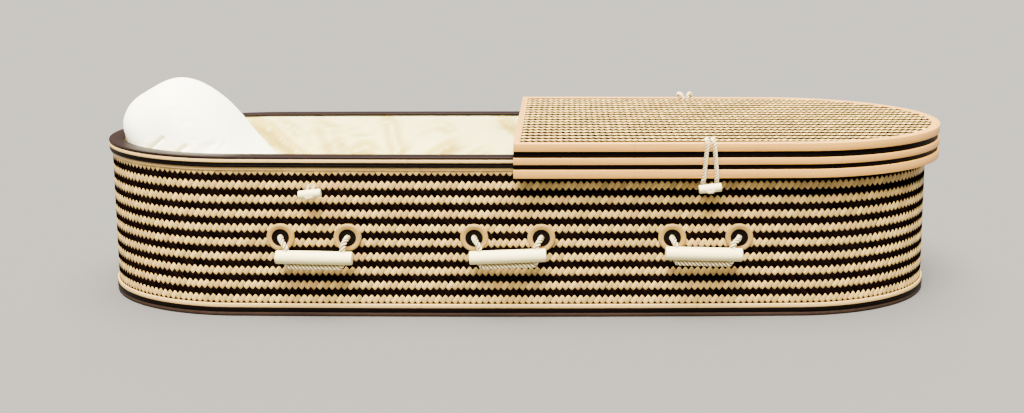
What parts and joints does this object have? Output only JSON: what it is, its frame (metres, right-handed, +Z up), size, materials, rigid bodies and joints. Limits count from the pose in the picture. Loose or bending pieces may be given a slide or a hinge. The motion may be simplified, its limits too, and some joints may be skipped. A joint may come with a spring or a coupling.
{
  "type": "bamboo casket",
  "caption": "Oval woven bamboo casket with a half lid over the foot end, rope handles with wooden grips, a cream lining and a pillow.",
  "frame": {"origin": "centre of the casket's underside, under the middle of its woven body", "axes": "+X to the foot end with the lid, -X to the head end with the pillow, +Z up, -Y is the front"},
  "size_m": [1.9989, 0.6959, 0.4969],
  "materials": {
    "base_board": "brown stained board, satin",
    "black_bamboo": "black stained bamboo, satin",
    "natural_bamboo": "natural split bamboo, satin",
    "woven_bamboo": "black and natural bamboo strips in a bias twill weave",
    "rim_cap": "dark brown stained, satin",
    "lining_cloth": "cream cotton, soft folds",
    "pillow_cloth": "white cotton",
    "turned_wood": "turned washer, recessed centre stained black",
    "pale_wood": "sanded pale dowel",
    "cotton_rope": "three-strand twisted cotton"
  },
  "bodies": {
    "root": {"base_board": "base_board", "base_band_black": "black_bamboo", "rim_band_black": "black_bamboo", "lid_frame": "black_bamboo", "base_band_natural": "natural_bamboo", "rim_band_lower": "natural_bamboo", "rim_band_upper": "natural_bamboo", "lid_batten_top": "natural_bamboo", "lid_batten_middle": "natural_bamboo", "lid_batten_bottom": "natural_bamboo", "lid_border": "natural_bamboo", "woven_wall": "woven_bamboo", "lid_woven_panel": "woven_bamboo", "rim_cap": "rim_cap", "lining": "lining_cloth", "pillow": "pillow_cloth", "eyelet_front_head_a": "turned_wood", "eyelet_front_head_b": "turned_wood", "grip_front_head": "pale_wood", "handle_rope_front_head": "cotton_rope", "eyelet_front_middle_a": "turned_wood", "eyelet_front_middle_b": "turned_wood", "grip_front_middle": "pale_wood", "handle_rope_front_middle": "cotton_rope", "eyelet_front_foot_a": "turned_wood", "eyelet_front_foot_b": "turned_wood", "grip_front_foot": "pale_wood", "handle_rope_front_foot": "cotton_rope", "toggle_front_head": "pale_wood", "toggle_cord_front_head": "cotton_rope", "toggle_front_foot": "pale_wood", "toggle_cord_front_foot": "cotton_rope", "lid_loop_front": "cotton_rope", "eyelet_back_head_a": "turned_wood", "eyelet_back_head_b": "turned_wood", "grip_back_head": "pale_wood", "handle_rope_back_head": "cotton_rope", "eyelet_back_middle_a": "turned_wood", "eyelet_back_middle_b": "turned_wood", "grip_back_middle": "pale_wood", "handle_rope_back_middle": "cotton_rope", "eyelet_back_foot_a": "turned_wood", "eyelet_back_foot_b": "turned_wood", "grip_back_foot": "pale_wood", "handle_rope_back_foot": "cotton_rope", "toggle_back_head": "pale_wood", "toggle_cord_back_head": "cotton_rope", "toggle_back_foot": "pale_wood", "toggle_cord_back_foot": "cotton_rope", "lid_loop_back": "cotton_rope"}
  },
  "joints": []
}
